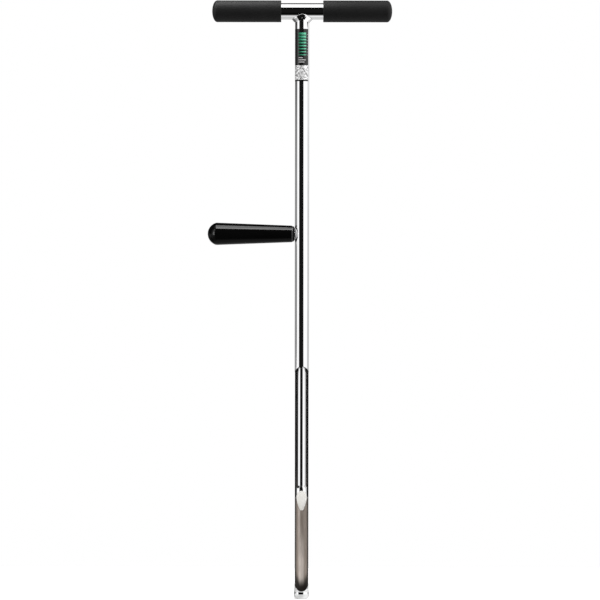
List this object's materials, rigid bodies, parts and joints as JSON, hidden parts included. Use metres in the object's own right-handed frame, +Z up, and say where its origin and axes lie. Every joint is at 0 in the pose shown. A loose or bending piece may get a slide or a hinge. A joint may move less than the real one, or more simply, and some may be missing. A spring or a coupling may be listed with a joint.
{
  "type": "soil probe",
  "caption": "T-handled tube probe with a flared cutting tip, a long front window, a sliding core deflector on an inner rod and a screw clamp worked by a tapered side handle.",
  "frame": {"origin": "middle of the cutting edge, on the tube's axis", "axes": "+Z up the tube towards the T handle, -Y out of the window, the crossbar along X with the side handle towards -X"},
  "size_m": [0.2894, 0.035, 0.9397],
  "materials": {
    "chrome_plate": "bright chrome plate",
    "polished_rod": "polished steel",
    "head_steel": "ground and polished steel",
    "plain_steel": "plain spring steel",
    "soft_brass": "turned brass",
    "bush_plastic": "turned black acetal",
    "grip_foam": "matte closed-cell foam",
    "handle_black": "glossy moulded phenolic",
    "label_dark": "printed vinyl, black and green",
    "label_pale": "printed vinyl, silver grey"
  },
  "bodies": {
    "probe_body": {"sampler_tube": "chrome_plate", "cutting_tip": "chrome_plate", "crossbar": "chrome_plate", "crossbar_weld": "chrome_plate", "left_grip": "grip_foam", "right_grip": "grip_foam", "label_band": "label_dark", "label_panel": "label_pale", "handle_boss": "chrome_plate", "boss_weld": "chrome_plate", "guide_bush": "bush_plastic", "clamp_bush": "bush_plastic"},
    "deflector": {"deflector_rod": "polished_rod", "deflector_head": "head_steel", "head_pin": "plain_steel", "stop_ring": "plain_steel"},
    "clamp_screw": {"clamp_stud": "plain_steel", "clamp_pad": "soft_brass"},
    "handle": {"side_handle": "handle_black", "handle_insert": "soft_brass"}
  },
  "joints": [
    {"name": "deflector_slide", "type": "slide", "parent": "probe_body", "child": "deflector", "axis": [0, 0, 1], "range_m": [-0.113, 0.1665]},
    {"name": "stud_travel", "type": "slide", "parent": "probe_body", "child": "clamp_screw", "axis": [-1, 0, 0], "range_m": [0, 0.0015]},
    {"name": "handle_turn", "type": "hinge", "parent": "clamp_screw", "child": "handle", "pos_m": [-0.0116, 0, 0.5729], "axis": [-1, 0, 0], "range_deg": [0, 360]}
  ],
  "couplings": [
    {"joint": "handle_turn", "follows": "stud_travel", "rad_per_m": 4188.8}
  ]
}
